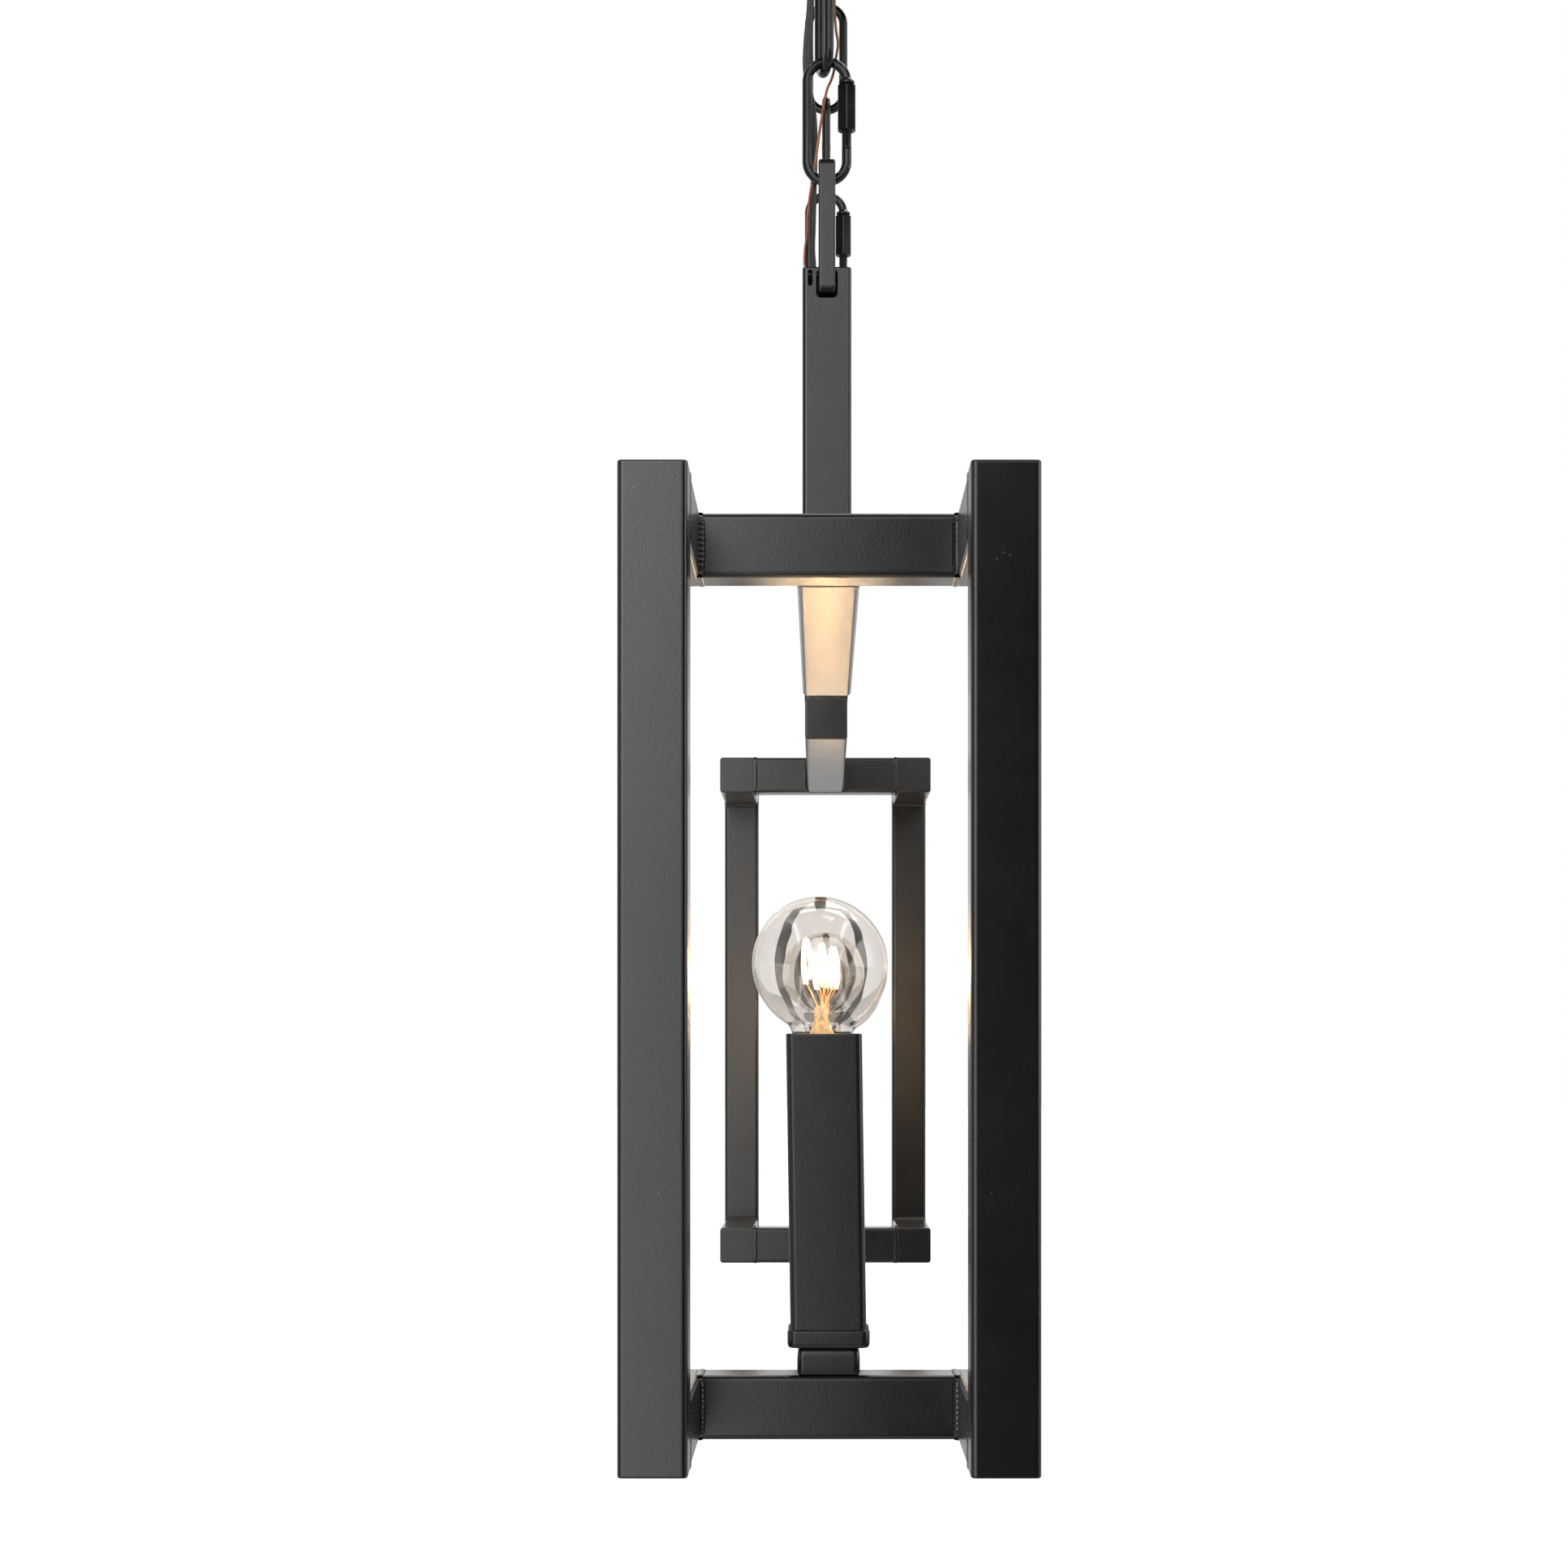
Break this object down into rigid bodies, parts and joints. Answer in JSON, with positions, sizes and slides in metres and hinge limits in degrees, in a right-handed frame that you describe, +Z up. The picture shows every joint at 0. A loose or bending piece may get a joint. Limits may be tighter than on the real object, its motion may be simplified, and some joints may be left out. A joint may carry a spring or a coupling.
{
  "type": "hanging lantern",
  "caption": "Long open-frame linear lantern of black square tube, hung on two link chains, with a row of square candle sleeves and clear globe bulbs.",
  "frame": {"origin": "middle of the ceiling bracket's top face", "axes": "+X across the lantern, +Y along it away from the end with the supply cord, +Z up to the ceiling"},
  "size_m": [0.15, 1.25, 0.822],
  "materials": {
    "powder_coat": "semi-gloss black powder coat, fine orange peel",
    "black_link": "glossy black enamel",
    "socket": "off-white moulded plastic",
    "clear_glass": "clear, warm when lit",
    "bracket_steel": "zinc plated",
    "cord_jacket": "black satin jacket",
    "copper": "bare twisted copper"
  },
  "bodies": {
    "ceiling": {"canopy": "powder_coat", "ceiling_bracket": "bracket_steel", "cord_bush": "cord_jacket", "near_canopy_loop": "black_link", "near_canopy_screw": "powder_coat", "far_canopy_loop": "black_link", "far_canopy_screw": "powder_coat"},
    "upper_links": {"near_upper_link": "black_link", "far_upper_link": "black_link"},
    "near_chain": {"near_middle_link": "black_link", "near_quick_link": "black_link", "supply_cord": "cord_jacket", "ground_wire": "copper"},
    "far_chain": {"far_middle_link": "black_link", "far_quick_link": "black_link"},
    "frame": {"near_left_post": "powder_coat", "near_right_post": "powder_coat", "far_left_post": "powder_coat", "far_right_post": "powder_coat", "near_left_bottom_side_bar": "powder_coat", "near_left_top_side_bar": "powder_coat", "near_right_bottom_side_bar": "powder_coat", "near_right_top_side_bar": "powder_coat", "far_left_bottom_side_bar": "powder_coat", "far_left_top_side_bar": "powder_coat", "far_right_bottom_side_bar": "powder_coat", "far_right_top_side_bar": "powder_coat", "near_bottom_crossbar": "powder_coat", "near_top_crossbar": "powder_coat", "far_bottom_crossbar": "powder_coat", "far_top_crossbar": "powder_coat", "near_top_spine": "powder_coat", "far_top_spine": "powder_coat", "bottom_spine": "powder_coat", "near_stem": "powder_coat", "far_stem": "powder_coat", "near_hanging_loop": "powder_coat", "far_hanging_loop": "powder_coat", "candle_cup_1": "powder_coat", "candle_sleeve_1": "powder_coat", "lamp_socket_1": "socket", "candle_cup_2": "powder_coat", "candle_sleeve_2": "powder_coat", "lamp_socket_2": "socket", "candle_cup_3": "powder_coat", "candle_sleeve_3": "powder_coat", "lamp_socket_3": "socket", "candle_cup_4": "powder_coat", "candle_sleeve_4": "powder_coat", "lamp_socket_4": "socket", "candle_cup_5": "powder_coat", "candle_sleeve_5": "powder_coat", "lamp_socket_5": "socket"},
    "near_nut": {"near_link_nut": "black_link"},
    "far_nut": {"far_link_nut": "black_link"},
    "lamp_1": {"bulb_1": "clear_glass"},
    "lamp_2": {"bulb_2": "clear_glass"},
    "lamp_3": {"bulb_3": "clear_glass"},
    "lamp_4": {"bulb_4": "clear_glass"},
    "lamp_5": {"bulb_5": "clear_glass"}
  },
  "joints": [
    {"name": "side_swing", "type": "hinge", "parent": "ceiling", "child": "upper_links", "pos_m": [0, 0, -0.0559], "axis": [0, 1, 0], "range_deg": [-15, 15]},
    {"name": "lengthwise_swing", "type": "hinge", "parent": "upper_links", "child": "near_chain", "pos_m": [0, -0.125, -0.112], "axis": [1, 0, 0], "range_deg": [-15, 15], "deforming": ["supply_cord", "ground_wire"]},
    {"name": "frame_level", "type": "hinge", "parent": "near_chain", "child": "frame", "pos_m": [0, -0.125, -0.2242], "axis": [1, 0, 0], "range_deg": [-15, 15]},
    {"name": "far_chain_swing", "type": "hinge", "parent": "upper_links", "child": "far_chain", "pos_m": [0, 0.125, -0.112], "axis": [1, 0, 0], "range_deg": [-15, 15]},
    {"name": "near_nut_travel", "type": "slide", "parent": "near_chain", "child": "near_nut", "axis": [0, 0, -1], "range_m": [0, 0.013]},
    {"name": "far_nut_travel", "type": "slide", "parent": "far_chain", "child": "far_nut", "axis": [0, 0, -1], "range_m": [0, 0.013]},
    {"name": "bulb_1_lift_out", "type": "slide", "parent": "frame", "child": "lamp_1", "axis": [0, 0, 1], "range_m": [0, 0.035]},
    {"name": "bulb_2_lift_out", "type": "slide", "parent": "frame", "child": "lamp_2", "axis": [0, 0, 1], "range_m": [0, 0.035]},
    {"name": "bulb_3_lift_out", "type": "slide", "parent": "frame", "child": "lamp_3", "axis": [0, 0, 1], "range_m": [0, 0.035]},
    {"name": "bulb_4_lift_out", "type": "slide", "parent": "frame", "child": "lamp_4", "axis": [0, 0, 1], "range_m": [0, 0.035]},
    {"name": "bulb_5_lift_out", "type": "slide", "parent": "frame", "child": "lamp_5", "axis": [0, 0, 1], "range_m": [0, 0.035]}
  ],
  "couplings": [
    {"joint": "frame_level", "follows": "lengthwise_swing", "ratio": -1},
    {"joint": "far_chain_swing", "follows": "lengthwise_swing", "ratio": 1}
  ]
}
